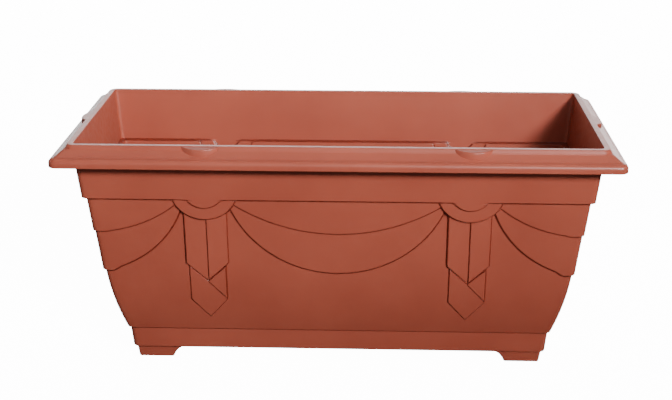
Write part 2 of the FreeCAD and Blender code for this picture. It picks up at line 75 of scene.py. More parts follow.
def ease(t: Array) -> Array:
    """Smooth step from 0 to 1."""
    t = np.clip(t, 0.0, 1.0)
    return t * t * (3.0 - 2.0 * t)


def along(start: Point, end: Point, spacing: float) -> list[Point]:
    """Points on a straight line.

    Args:
        start: First end.
        end: Other end.
        spacing: Longest step between points.

    Returns:
        Both ends and the points between them.
    """
    count = max(1, math.ceil(math.dist(start, end) / spacing))
    return [(start[0] + (end[0] - start[0]) * n / count, start[1] + (end[1] - start[1]) * n / count)
            for n in range(count + 1)]


def arc(centre: Point, radius: float, first: float, last: float, count: int) -> list[Point]:
    """Points on a circular arc.

    Args:
        centre: Centre of the arc.
        radius: Radius of the arc.
        first: Start angle in degrees.
        last: End angle in degrees.
        count: Number of steps.

    Returns:
        The arc's points, both ends among them.
    """
    angles = np.radians(np.linspace(first, last, count + 1))
    return [(centre[0] + radius * math.cos(a), centre[1] + radius * math.sin(a)) for a in angles]


class Side(Enum):
    """The four sides of the trough, as the signs that place a face."""

    FRONT = (1, 0, 0, -1)
    BACK = (1, 0, 0, 1)
    LEFT = (0, -1, -1, 0)
    RIGHT = (0, 1, -1, 0)

    @property
    def is_long(self) -> bool:
        """True for the front and the back."""
        return self.value[0] != 0

    def place(self, u: Array, out: Array, z: Array) -> Array:
        """Put points of a face in space.

        Args:
            u: Distance along the face from its middle.
            out: Reach of each point.
            z: Height of each point.

        Returns:
            An array of points, one row each.
        """
        across_x, out_x, across_y, out_y = self.value
        far = out - (FLANK if self.is_long else 0.0)
        return np.stack([across_x * u + out_x * far, across_y * u + out_y * far, z], axis=1)


# ---------------------------------------------------------------- the trough's form


@dataclass(frozen=True)
class TroughForm:
    """Levels and reaches of the trough, in mm, as the frame has them."""

    floor_low: float = 14.6
    floor_top: float = 17.6
    base_level: float = 40.0
    waist_level: float = 120.0
    frieze_level: float = 206.5
    top_level: float = 267.5
    base_low: float = 234.6
    base_top: float = 236.8
    hem: float = 239.0
    waist: float = 256.8
    body_top: float = 265.7
    frieze_low: float = 273.6
    frieze_top: float = 279.6
    corner_radius: float = 7.0
    wall: float = 2.5

    def base(self, z: Array) -> Array:
        """Reach of the set-back base band."""
        return self.base_low + (self.base_top - self.base_low) * (z - self.floor_low) / (
            self.base_level - self.floor_low)

    def frieze(self, z: Array) -> Array:
        """Reach of the frieze."""
        return self.frieze_low + (self.frieze_top - self.frieze_low) * (z - self.frieze_level) / (
            self.top_level - self.frieze_level)

    def body(self, z: Array) -> Array:
        """Reach of the body: straight above the waist, curving in below it.

        Args:
            z: Height of each point.

        Returns:
            The reach of each point.
        """
        slope = (self.body_top - self.waist) / (self.frieze_level - self.waist_level)
        straight = self.waist + slope * (z - self.waist_level)
        depth = self.waist_level - self.base_level
        missed = self.waist - slope * depth - self.hem
        return straight - missed * (np.maximum(self.waist_level - z, 0.0) / depth) ** 2

    def inset(self, inner: bool) -> float:
        """How far a skin lies inside the outer one."""
        return self.wall if inner else 0.0

    def plan_radius(self, inner: bool) -> float:
        """Plan radius of the corners, inside or outside."""
        return self.corner_radius - self.inset(inner)


# ---------------------------------------------------------------- relief regions


class Region:
    """A raised area on a face, as a signed distance and as lines at a distance inside it."""

    def depth(self, u: Array, z: Array) -> Array:
        """Distance inside the region's edge, negative outside."""
        raise NotImplementedError

    def lines(self, inset: float) -> list[list[Point]]:
        """Lines that run at a distance inside the edge."""
        raise NotImplementedError


@dataclass(frozen=True)
class Disc(Region):
    """Round area."""

    u: float
    z: float
    radius: float
    spacing: float = 1.6
    fewest: int = 24

    def depth(self, u: Array, z: Array) -> Array:
        """Distance inside the circle."""
        return self.radius - np.hypot(u - self.u, z - self.z)

    def lines(self, inset: float) -> list[list[Point]]:
        """A whole circle at a distance inside the edge.

        Args:
            inset: The distance.

        Returns:
            The circle, as the only line.
        """
        radius = self.radius - inset
        count = max(self.fewest, round(math.tau * radius / self.spacing))
        return [arc((self.u, self.z), radius, 0.0, 360.0, count)]


@dataclass(frozen=True)
class Polygon(Region):
    """Straight-edged area, its corners in anticlockwise order."""

    corners: tuple[Point, ...]
    spacing: float = 3.0

    def depth(self, u: Array, z: Array) -> Array:
        """Distance inside the polygon's edge.

        Args:
            u: Distance along the face.
            z: Height.

        Returns:
            The distance of each point, negative outside.
        """
        nearest = np.full(u.shape, 1e9)
        inside = np.zeros(u.shape, bool)
        for (ax, az), (bx, bz) in zip(self.corners, self.corners[1:] + self.corners[:1]):
            ex, ez = bx - ax, bz - az
            t = np.clip(((u - ax) * ex + (z - az) * ez) / (ex * ex + ez * ez), 0.0, 1.0)
            nearest = np.minimum(nearest, np.hypot(u - ax - t * ex, z - az - t * ez))
            if bz != az:
                crosses = (az > z) != (bz > z)
                inside ^= crosses & (u < ex * (z - az) / (bz - az) + ax)
        return np.where(inside, nearest, -nearest)

    def lines(self, inset: float) -> list[list[Point]]:
        """The polygon's outline, moved in by a distance.

        Args:
            inset: The distance.

        Returns:
            One line for each side.
        """
        moved = []
        count = len(self.corners)
        for n in range(count):
            before, here, after = (Vector(self.corners[k % count]) for k in (n - 1, n, n + 1))
            into, away = (here - before).normalized(), (after - here).normalized()
            normal = Vector((-into.y, into.x)) + Vector((-away.y, away.x))
            normal.normalize()
            reach = inset / max(BLUNTEST, normal.dot(Vector((-into.y, into.x))))
            moved.append((here.x + normal.x * reach, here.y + normal.y * reach))
        return [along(a, b, self.spacing) for a, b in zip(moved, moved[1:] + moved[:1])]


@dataclass(frozen=True)
class Pleats(Polygon):
    """Ribbon area with a step down its middle."""

    middle: float = 0.0
    tip: float = 0.0
    clear: float = 1.5

    def lines(self, inset: float) -> list[list[Point]]:
        """The outline, and a line beside the step that starts clear of the tip."""
        u, top = self.middle + inset, self.corners[-1][1]
        return super().lines(inset) + [along((u, self.tip + self.clear), (u, top), self.spacing)]


@dataclass(frozen=True)
class Swags(Region):
    """Cloth hung in arcs: everything above the lowest of the arcs.

    Close to the trough's corner the arc runs level, so that it turns the corner at one height.
    """

    circles: tuple[Place, ...]
    edge: float
    spacing: float = 3.0
    level_run: float = 9.8
    turn_run: float = 12.0

    def eased(self, u: Array) -> Array:
        """Distance along the face, held at the corner's own value close to the corner."""
        run = self.edge - np.abs(u)
        return np.sign(u) * (self.edge - run * ease((run - self.level_run) / self.turn_run))

    def depth(self, u: Array, z: Array) -> Array:
        """Distance inside the nearest arc."""
        held = self.eased(u)
        return np.max([radius - np.hypot(held - cu, z - cz) for cu, cz, radius in self.circles], axis=0)

    def lines(self, inset: float) -> list[list[Point]]:
        """Lower arcs, from corner to corner, where each is the one that shows.

        Args:
            inset: Distance inside the edge.

        Returns:
            The stretches of arc.
        """
        found = []
        u = np.arange(-self.edge, self.edge + 0.01, self.spacing)
        for cu, cz, radius in self.circles:
            held = self.eased(u)
            under = (radius - inset) ** 2 - (held - cu) ** 2
            z = cz - np.sqrt(np.maximum(under, 0.0))
            shows = (under > 0) & (np.abs(self.depth(u, z) - inset) < 0.01)
            found += runs(list(zip(u.tolist(), z.tolist())), shows)
        return found


def runs(points: Sequence[Point], keep: Iterable[bool]) -> list[list[Point]]:
    """Split a line into the stretches that are kept.

    Args:
        points: The line.
        keep: For each point, whether it stays.

    Returns:
        The stretches of two points or more.
    """
    found: list[list[Point]] = [[]]
    for point, kept in zip(points, keep):
        if kept:
            found[-1].append(point)
        elif found[-1]:
            found.append([])
    return [line for line in found if len(line) > 1]


# where mesh lines run on a step, from its foot at 0 to its top at 1
FINE_STOPS = (-0.4, 0.0, 0.04, 0.12, 0.3, 0.7, 0.88, 0.96, 1.0, 1.4)
PLAIN_STOPS = (-0.4, 0.0, 0.1, 0.3, 0.7, 0.9, 1.0, 1.4)


@dataclass(frozen=True)
class Relief:
    """A region raised from the body, with a drafted and rounded edge."""

    region: Region
    height: Callable[[Array, Array], Array]
    edge: float
    stops: tuple[float, ...] = PLAIN_STOPS

    def rise(self, u: Array, z: Array, inset: float) -> Array:
        """Height above the body."""
        return self.height(u, z) * ease((self.region.depth(u, z) - inset) / self.edge)

    def lines(self, inset: float) -> list[list[Point]]:
        """Mesh lines that follow the edge."""
        return [line for stop in self.stops for line in self.region.lines(inset + stop * self.edge)]


def flat(height: float) -> Callable[[Array, Array], Array]:
    """Height function of a level relief."""
    return lambda u, z: np.full(u.shape, height)


@dataclass(frozen=True)
class Ornament:
    """Sizes of the medallions, swags and ribbons, in mm.

    Swags and pleats stand out 0.3 to 0.7 mm further than on the solids, and the tail is
    folded a little differently, so that their lines show as in the photograph.
    """

    medallion_offset: float = 142.0
    medallion_level: float = 219.5
    disc_radius: float = 23.7
    ring_radius: float = 38.5
    ring_relief: float = 5.8
    disc_relief: float = 7.9
    swag_relief: tuple[float, float] = (3.9, 2.3)
    swag_level: tuple[float, float] = (164.8, 116.8)
    swag_edge: tuple[float, float] = (265.5, 258.4)
    swag_step: float = 2.8
    ring_step: float = 3.0
    disc_step: float = 1.9
    middle_radius: tuple[float, float] = (202.0, 126.0)
    corner_radius: tuple[float, float] = (147.0, 120.0)
    corner_past: tuple[float, float] = (0.0, 20.3)
    end_radius: tuple[float, float] = (90.0, 63.6)
    ribbon_half: float = 24.0
    pleat_high: float = 3.0
    pleat_low: float = 1.2
    pleat_edge: float = 1.6
    ribbon_level: float = 129.0
    ribbon_tip: float = 106.5
    ribbon_top: float = 214.0
    tail_half: float = 20.6
    tail_relief: tuple[float, float] = (1.6, 0.8)
    tail_level: float = 83.0
    tail_tip: float = 58.3
    diamond_top: float = 105.3
    fold_relief: float = 2.2
    fold_edge: float = 1.1
    tuck: float = 1.1

    def swags(self, layer: int, is_long: bool) -> Relief:
        """One layer of swags.

        Args:
            layer: 0 for the upper layer, 1 for the lower.
            is_long: True on the front and back.

        Returns:
            The layer as a relief.
        """
        low = self.swag_level[layer]
        edge = self.swag_edge[layer] - (0.0 if is_long else FLANK)
        past = self.corner_past[layer] if is_long else 0.0
        radius = self.corner_radius[layer] if is_long else self.end_radius[layer]
        centre = low + math.sqrt(radius ** 2 - past ** 2)
        circles = [(side * (edge + past), centre, radius) for side in (-1, 1)]
        if is_long:
            middle = self.middle_radius[layer]
            circles.append((0.0, low + middle, middle))
        return Relief(Swags(tuple(circles), edge), flat(self.swag_relief[layer]), self.swag_step)

    def pleat(self, centre: float) -> Callable[[Array, Array], Array]:
        """Height of the two pleats: each rises at its left edge and sinks to its right.

        Args:
            centre: Distance of the ribbon from the middle of the face.

        Returns:
            The height function.
        """
        def height(u: Array, z: Array) -> Array:
            """Height of the pleats.

            Args:
                u: Distance along the face.
                z: Height on the face, which the pleats don't change with.

            Returns:
                The height of each point.
            """
            across = u - centre
            fall = (self.pleat_high - self.pleat_low) / self.ribbon_half
            left = self.pleat_high - fall * (across + self.ribbon_half)
            right = self.pleat_high - fall * across
            return left + (right - left) * ease(across / self.pleat_edge)
        return height

    def cloth(self, centre: float) -> Callable[[Array, Array], Array]:
        """Height of the ribbon's tail, which sinks towards its right.

        Args:
            centre: Distance of the ribbon from the middle of the face.

        Returns:
            The height function.
        """
        left, right = self.tail_relief
        return lambda u, z: left + (right - left) * ((u - centre) / self.tail_half + 1.0) / 2.0

    def ribbon(self, centre: float) -> list[Relief]:
        """Pleats, tail and side fold under one medallion.

        Args:
            centre: Distance of the medallion from the middle of the face.

        Returns:
            The three reliefs.
        """
        half, tail, top = self.ribbon_half, self.tail_half, self.ribbon_top
        shoulder = self.ribbon_tip + (self.ribbon_level - self.ribbon_tip) * tail / half
        pleats = ((centre - half, self.ribbon_level), (centre, self.ribbon_tip),
                  (centre + half, self.ribbon_level), (centre + half, top), (centre - half, top))
        tucked = self.ribbon_tip + self.tuck
        cloth = ((centre - tail, self.tail_level), (centre, self.tail_tip),
                 (centre + tail, self.tail_level), (centre + tail, shoulder + self.tuck),
                 (centre, tucked), (centre - tail, shoulder + self.tuck))
        fold = ((centre, self.diamond_top), (centre + tail, self.tail_level),
                (centre + tail, shoulder + self.tuck), (centre, tucked))
        ribbon = Pleats(pleats, middle=centre, tip=self.ribbon_tip)
        return [Relief(ribbon, self.pleat(centre), self.pleat_edge),
                Relief(Polygon(cloth), self.cloth(centre), self.fold_edge),
                Relief(Polygon(fold), flat(self.fold_relief), self.fold_edge)]

    def reliefs(self, is_long: bool, inner: bool) -> list[Relief]:
        """Everything raised on one face.

        Args:
            is_long: True on the front and back.
            inner: True for the inside, which follows the outside but for the ribbons.

        Returns:
            The reliefs, in no order that matters.
        """
        centres = (-self.medallion_offset, self.medallion_offset) if is_long else (0.0,)
        found = [self.swags(layer, is_long) for layer in (0, 1)]
        for centre in centres:
            place = (centre, self.medallion_level)
            ring_area, disc_area = Disc(*place, self.ring_radius), Disc(*place, self.disc_radius)
            found.append(Relief(ring_area, flat(self.ring_relief), self.ring_step, FINE_STOPS))
            found.append(Relief(disc_area, flat(self.disc_relief), self.disc_step))
            if not inner:
                found += self.ribbon(centre)
        return found


# ---------------------------------------------------------------- meshes


@dataclass
class Shell:
    """Points and faces gathered for one mesh, in mm."""

    name: str
    points: list[Place] = field(default_factory=list)
    faces: list[tuple[int, ...]] = field(default_factory=list)
    # weight of painted shade for each point, 0 to 1
    painted_shade: list[float] = field(default_factory=list)

    def add(self, points: Iterable[Sequence[float]], faces: Iterable[Sequence[int]],
            painted_shade: Sequence[float] = ()) -> None:
        """Take in a patch.

        Args:
            points: Its points.
            faces: Its faces, counted from its own first point.
            painted_shade: For each point, its weight of painted shade: 0 on a plain face to 1 on the side of
                a step.
        """
        first = len(self.points)
        self.points += [tuple(float(c) for c in p) for p in points]
        self.faces += [tuple(first + n for n in f) for f in faces]
        self.painted_shade += [float(s) for s in painted_shade] or [0.0] * (len(self.points) - first)

    def add_rows(self, rows: Sequence[Sequence[Sequence[float]]], closed: bool = False,
                 painted_shade: Sequence[float] = ()) -> None:
        """Take in a grid of points.

        Args:
            rows: Rows of equal length.
            closed: True where each row is a loop.
            painted_shade: For each row, its weight of painted shade: 0 on a plain face to 1 on the side of a
                step.
        """
        width = len(rows[0])
        span = width if closed else width - 1
        faces = [(r * width + c, r * width + (c + 1) % width,
                  (r + 1) * width + (c + 1) % width, (r + 1) * width + c)
                 for r in range(len(rows) - 1) for c in range(span)]
        self.add([p for row in rows for p in row], faces, [s for s in painted_shade for _ in range(width)])

    def mesh(self, sharp: float = 62.0) -> bpy.types.Mesh:
        """Weld the patches into one mesh in metres.

        Args:
            sharp: Edges that turn by more degrees than this stay crisp.

        Returns:
            The mesh, smooth shaded, its normals outward.
        """
        mesh = bpy.data.meshes.new(self.name)
        mesh.from_pydata([tuple(c * MM for c in p) for p in self.points], [], self.faces)
        # the painted-shade weights go to the material as a point attribute
        mesh.attributes.new(PAINTED_SHADE, "FLOAT", "POINT").data.foreach_set("value", self.painted_shade)
        work = bmesh.new()
        work.from_mesh(mesh)
        bmesh.ops.remove_doubles(work, verts=work.verts, dist=WELD * MM)
        bmesh.ops.dissolve_degenerate(work, edges=work.edges, dist=0.1 * WELD * MM)
        bmesh.ops.recalc_face_normals(work, faces=work.faces)
        open_edges = sum(1 for edge in work.edges if len(edge.link_faces) != 2)
        work.to_mesh(mesh)
        work.free()
        mesh.shade_smooth()
        mesh.set_sharp_from_angle(angle=math.radians(sharp))
        LOG.info("%s: %d faces, %d edges not shared by two", self.name, len(mesh.polygons), open_edges)
        return mesh


def ring(reach: float, radius: float, z: float, counts: tuple[int, int, int]) -> list[Place]:
    """Level loop round the trough, a rectangle with round corners.

    Args:
        reach: Distance of the end faces from the middle.
        radius: Plan radius of the corners.
        z: Height.
        counts: Steps along a long face, along an end and round a corner.

    Returns:
        The loop's points, from the front's left end on, anticlockwise seen from above.
    """
    half_x, half_y = reach - radius, reach - FLANK - radius
    spots = ((half_x, -half_y), (half_x, half_y), (-half_x, half_y), (-half_x, -half_y))
    loop: list[Place] = []
    for index, (cx, cy) in enumerate(spots):
        before = spots[index - 1]
        angle = 90.0 * (index - 1)
        turn = math.radians(angle)
        start = Vector((before[0] + radius * math.cos(turn), before[1] + radius * math.sin(turn)))
        end = Vector((cx + radius * math.cos(turn), cy + radius * math.sin(turn)))
        steps = counts[index % 2]
        loop += [(*start.lerp(end, n / steps), z) for n in range(steps)]
        corner = arc((cx, cy), radius, angle, angle + 90.0, counts[2])
        loop += [(x, y, z) for x, y in corner[:-1]]
    return loop


def triangulate(outline: Sequence[Point], lines: Iterable[Sequence[Point]],
                loose: Iterable[Point]) -> tuple[Array, list[tuple[int, ...]]]:
    """Triangles inside an outline, with edges along the given lines.

    Args:
        outline: Closed outline.
        lines: Lines that the triangles follow.
        loose: Points without lines.

    Returns:
        The points as an array, and the triangles.
    """
    points = [Vector(p) for p in outline]
    edges: list[tuple[int, int]] = []
    for line in lines:
        first = len(points)
        points += [Vector(p) for p in line]
        edges += [(n, n + 1) for n in range(first, len(points) - 1)]
    points += [Vector(p) for p in loose]
    face = [list(range(len(outline)))]
    made, _, triangles, _, _, _ = delaunay_2d_cdt(points, edges, face, INSIDE, CLOSE)
    return np.array([(p.x, p.y) for p in made]), [tuple(t) for t in triangles]


@dataclass
class TroughSkin:
    """The moulded trough as one closed skin: outside, inside, floor and drain holes.

    A level step starts by the share "lead" of its width under its level.  Lines and rows
    of points keep clear of one another by the distances named "clear".
    """

    form: TroughForm = field(default_factory=TroughForm)
    ornament: Ornament = field(default_factory=Ornament)
    step: float = 1.6
    lead: float = 0.3
    relief_end: float = 0.45
    counts: tuple[int, int, int] = (72, 30, 8)
    drains: tuple[Point, ...] = ((-150.0, -34.0), (150.0, -34.0), (-150.0, 34.0), (150.0, 34.0))
    drain_radius: float = 5.0
    drain_steps: int = 32
    mouth: Point = (0.6, 0.18)
    floor_end: float = 220.0
    floor_gap: float = 20.0
    floor_rows: tuple[float, ...] = (-52.0, -18.0, 0.0, 18.0, 52.0)
    foot_round: float = 1.6
    floor_round: float = 4.0
    row_gap: float = 8.0
    row_clear: float = 3.0
    row_least: float = 2.5
    side_clear: float = 0.8
    foot_clear: float = 1.0
    line_gap: float = 6.0
    loose_gap: Point = (7.0, 6.0)
    loose_clear: Point = (4.0, 5.0)
    # painted shade on step sides: gap the slope is sampled over, slope where the shade starts, and slope
    # over which it grows to full
    shade_gap: float = 0.5
    shade_from: float = 0.3
    shade_run: float = 0.4

    def reach(self, u: Array, z: Array, is_long: bool, inner: bool) -> Array:
        """Reach of the skin.

        Args:
            u: Distance along the face.
            z: Height.
            is_long: True on the front and back.
            inner: True on the inside.

        Returns:
            The reach of each point.
        """
        form, inset = self.form, self.form.inset(inner)
        rise = np.zeros(u.shape)
        for relief in self.ornament.reliefs(is_long, inner):
            rise = np.maximum(rise, relief.rise(u, z, inset))
        out = form.body(z) + rise
        above = ease((z - form.frieze_level - inset + self.lead * self.step) / self.step)
        out = out + (form.frieze(z) - out) * above
        over = ease((z - form.base_level - inset + self.lead * self.step) / self.step)
        out = form.base(z) + (out - form.base(z)) * over - inset
        low, radius = self.foot(inner)
        short = np.maximum(low + radius - z, 0.0)
        return out - (radius - np.sqrt(np.maximum(radius ** 2 - short ** 2, 0.0)))

    def foot(self, inner: bool) -> Point:
        """Level of the floor's face, and radius of the walls' rounded foot there."""
        return ((self.form.floor_top, self.floor_round) if inner
                else (self.form.floor_low, self.foot_round))

    def levels(self, inner: bool) -> list[float]:
        """Heights at which the skin has level rows of points.

        Args:
            inner: True on the inside.

        Returns:
            The heights, lowest first.
        """
        top = self.form.top_level
        low, radius = self.foot(inner)
        found = [low] + self.rounding(inner)
        for level, width, stops in self.steps(inner):
            found += [level + width * stop for stop in stops]
        found += [top, low + radius + self.row_clear]
        plain = np.arange(low + radius + self.row_gap, top - self.row_clear, self.row_gap)
        found += [z for z in plain if min(abs(z - other) for other in found) > self.row_least]
        return sorted(set(round(z, 6) for z in found))

    def rounding(self, inner: bool) -> list[float]:
        """Heights of the rows on the rounded foot of the walls.

        Args:
            inner: True on the inside.

        Returns:
            The heights, lowest first.
        """
        low, radius = self.foot(inner)
        return [low + radius * (1 - math.cos(math.radians(a))) for a in range(15, 91, 15)]

    def steps(self, inner: bool) -> list[tuple[float, float, tuple[float, ...]]]:
        """Level steps that run right round the trough: frieze and base band, then the swags.

        Args:
            inner: True on the inside.

        Returns:
            Height, width and stops of each.
        """
        inset = self.form.inset(inner)
        found = [(level + inset - self.lead * self.step, self.step, FINE_STOPS)
                 for level in (self.form.frieze_level, self.form.base_level)]
        found += [(level + inset, self.ornament.swag_step, PLAIN_STOPS)
                  for level in self.ornament.swag_level]
        return found

    def corner_reach(self, levels: Array, inner: bool) -> Array:
        """Reach at the trough's corners, where both faces agree."""
        return self.reach(self.form.body(levels) - self.form.corner_radius, levels, True, inner)

    def face(self, shell: Shell, side: Side, inner: bool) -> None:
        """Add one face between its corner rounds.

        Args:
            shell: Mesh in the making.
            side: Which side.
            inner: True on the inside.
        """
        levels = np.array(self.levels(inner))
        corner = self.corner_reach(levels, inner)
        radius = self.form.plan_radius(inner)
        ends = corner - radius - (0.0 if side.is_long else FLANK)
        steps = self.counts[0] if side.is_long else self.counts[1]
        bottom = [(u, levels[0]) for u in np.linspace(-ends[0], ends[0], steps + 1)]
        top = [(u, levels[-1]) for u in np.linspace(ends[-1], -ends[-1], steps + 1)]
        outline = bottom + list(zip(ends[1:-1], levels[1:-1])) + top
        outline += list(zip(-ends[-2:0:-1], levels[-2:0:-1]))
        points, triangles = triangulate(outline, self.lines(side.is_long, inner, levels, ends),
                                        self.loose(levels, ends))
        u, z = points[:, 0], points[:, 1]
        out = self.reach(u, z, side.is_long, inner)
        on_edge = np.abs(np.abs(u) - np.interp(z, levels, ends)) < ON_LINE
        out = np.where(on_edge, np.interp(z, levels, corner), out)
        shell.add(side.place(u, out, z), triangles, self.shade_weight(u, z, side.is_long, inner))

    def shade_weight(self, u: Array, z: Array, is_long: bool, inner: bool) -> Array:
        """Weight of painted shade for the sides of steps, from how far the skin slopes against the plain
        body, on the base band's step and above.

        Args:
            u: Distance along the face.
            z: Height.
            is_long: True on the front and back.
            inner: True on the inside.

        Returns:
            Painted shade, 0 on a plain face to 1 on the side of a step.
        """
        def stands(along_face: Array, height: Array) -> Array:
            """How far the skin stands out from the plain body."""
            return self.reach(along_face, height, is_long, inner) - self.form.body(height)
        gap = self.shade_gap
        across = stands(u + gap, z) - stands(u - gap, z)
        upward = stands(u, z + gap) - stands(u, z - gap)
        above = z > self.form.base_level - self.step
        return above * ease((np.hypot(across, upward) / (2 * gap) - self.shade_from) / self.shade_run)

    def lines(self, is_long: bool, inner: bool, levels: Array, ends: Array) -> list[list[Point]]:
        """Mesh lines of one face, cut to its outline.

        Args:
            is_long: True on the front and back.
            inner: True on the inside.
            levels: Heights of the outline's points.
            ends: Half width of the face at those heights.

        Returns:
            The lines.
        """
        inset = self.form.inset(inner)
        found: list[list[Point]] = []
        for relief in self.ornament.reliefs(is_long, inner):
            for line in relief.lines(inset):
                u, z = np.array(line).T
                kept = np.abs(u) < np.interp(z, levels, ends) - self.side_clear
                kept &= z > levels[0] + self.foot_clear
                kept &= z < self.form.frieze_level + inset - self.relief_end * self.step
                found += runs(line, kept)
        straight = self.rounding(inner)
        for level, width, stops in self.steps(inner)[:2]:
            straight += [level + width * stop for stop in stops]
        for z in straight:
            half = float(np.interp(z, levels, ends))
            found.append(along((-half, z), (half, z), self.line_gap))
        return found

    def loose(self, levels: Array, ends: Array) -> list[Point]:
        """Points that keep the triangles even between the lines.

        Args:
            levels: Heights of the outline's points.
            ends: Half width of the face at those heights.

        Returns:
            The points, in staggered rows.
        """
        found = []
        gap_u, gap_z = self.loose_gap
        clear_u, clear_z = self.loose_clear
        for row, z in enumerate(np.arange(levels[0] + clear_z, levels[-1] - self.row_clear, gap_z)):
            half = float(np.interp(z, levels, ends)) - clear_u
            shift = 0.5 * gap_u * (row % 2)
            found += [(u + shift, z) for u in np.arange(-half, half - shift, gap_u)]
        return found

    def corner(self, shell: Shell, quarter: int, inner: bool) -> None:
        """Add one corner round.

        Args:
            shell: Mesh in the making.
            quarter: Number of the corner, anticlockwise from the front right.
            inner: True on the inside.
        """
        levels = np.array(self.levels(inner))
        radius = self.form.plan_radius(inner)
        sx, sy = ((1, -1), (1, 1), (-1, 1), (-1, -1))[quarter]
        rows = []
        for z, reach in zip(levels, self.corner_reach(levels, inner)):
            middle = (sx * (reach - radius), sy * (reach - FLANK - radius))
            first = 90.0 * (quarter - 1)
            rows.append([(x, y, z) for x, y in arc(middle, radius, first, first + 90.0, self.counts[2])])
        ends = self.form.body(levels) - self.form.corner_radius
        shell.add_rows(rows, painted_shade=self.shade_weight(ends, levels, True, inner))

    def plate(self, shell: Shell, inner: bool) -> None:
        """Add the floor's underside or top, with its drain holes left open.

        Args:
            shell: Mesh in the making.
            inner: True for the top, which is inside the trough.
        """
        level = self.levels(inner)[0]
        reach = float(self.corner_reach(np.array([level]), inner)[0])
        radius = self.form.plan_radius(inner)
        outline = [(x, y) for x, y, _ in ring(reach, radius, level, self.counts)]
        hole = self.drain_radius + self.mouth[0]
        circles = [arc(middle, hole, 0.0, 360.0, self.drain_steps) for middle in self.drains]
        loose = [(x, y) for x in np.arange(-self.floor_end, self.floor_end + 1.0, self.floor_gap)
                 for y in self.floor_rows]
        points, triangles = triangulate(outline, circles, loose)
        middles = points[np.array(triangles)].mean(axis=1)
        open_holes = [np.hypot(middles[:, 0] - x, middles[:, 1] - y) < hole for x, y in self.drains]
        kept = [t for t, gone in zip(triangles, np.any(open_holes, axis=0)) if not gone]
        shell.add([(x, y, level) for x, y in points], kept)

    def drain(self, shell: Shell, middle: Point) -> None:
        """Add the wall of one drain hole, rounded at both mouths.

        Args:
            shell: Mesh in the making.
            middle: Middle of the hole.
        """
        low, top, r = self.form.floor_low, self.form.floor_top, self.drain_radius
        wide, near = self.mouth
        profile = [(r + wide, low), (r + near, low + near), (r, low + wide), (r, top - wide),
                   (r + near, top - near), (r + wide, top)]
        rows = [[(x, y, z) for x, y in arc(middle, radius, 0.0, 360.0, self.drain_steps)[:-1]]
                for radius, z in profile]
        shell.add_rows(rows, closed=True)

    def build(self) -> bpy.types.Mesh:
        """Build the whole skin.

        Returns:
            The mesh.
        """
        shell = Shell("trough_skin")
        for inner in (False, True):
            for side in Side:
                self.face(shell, side, inner)
            for quarter in range(4):
                self.corner(shell, quarter, inner)
            self.plate(shell, inner)
        top = np.array([self.form.top_level])
        shell.add_rows([ring(float(self.corner_reach(top, inner)[0]), self.form.plan_radius(inner),
                             top[0], self.counts) for inner in (False, True)], closed=True)
        for middle in self.drains:
            self.drain(shell, middle)
        return shell.mesh()


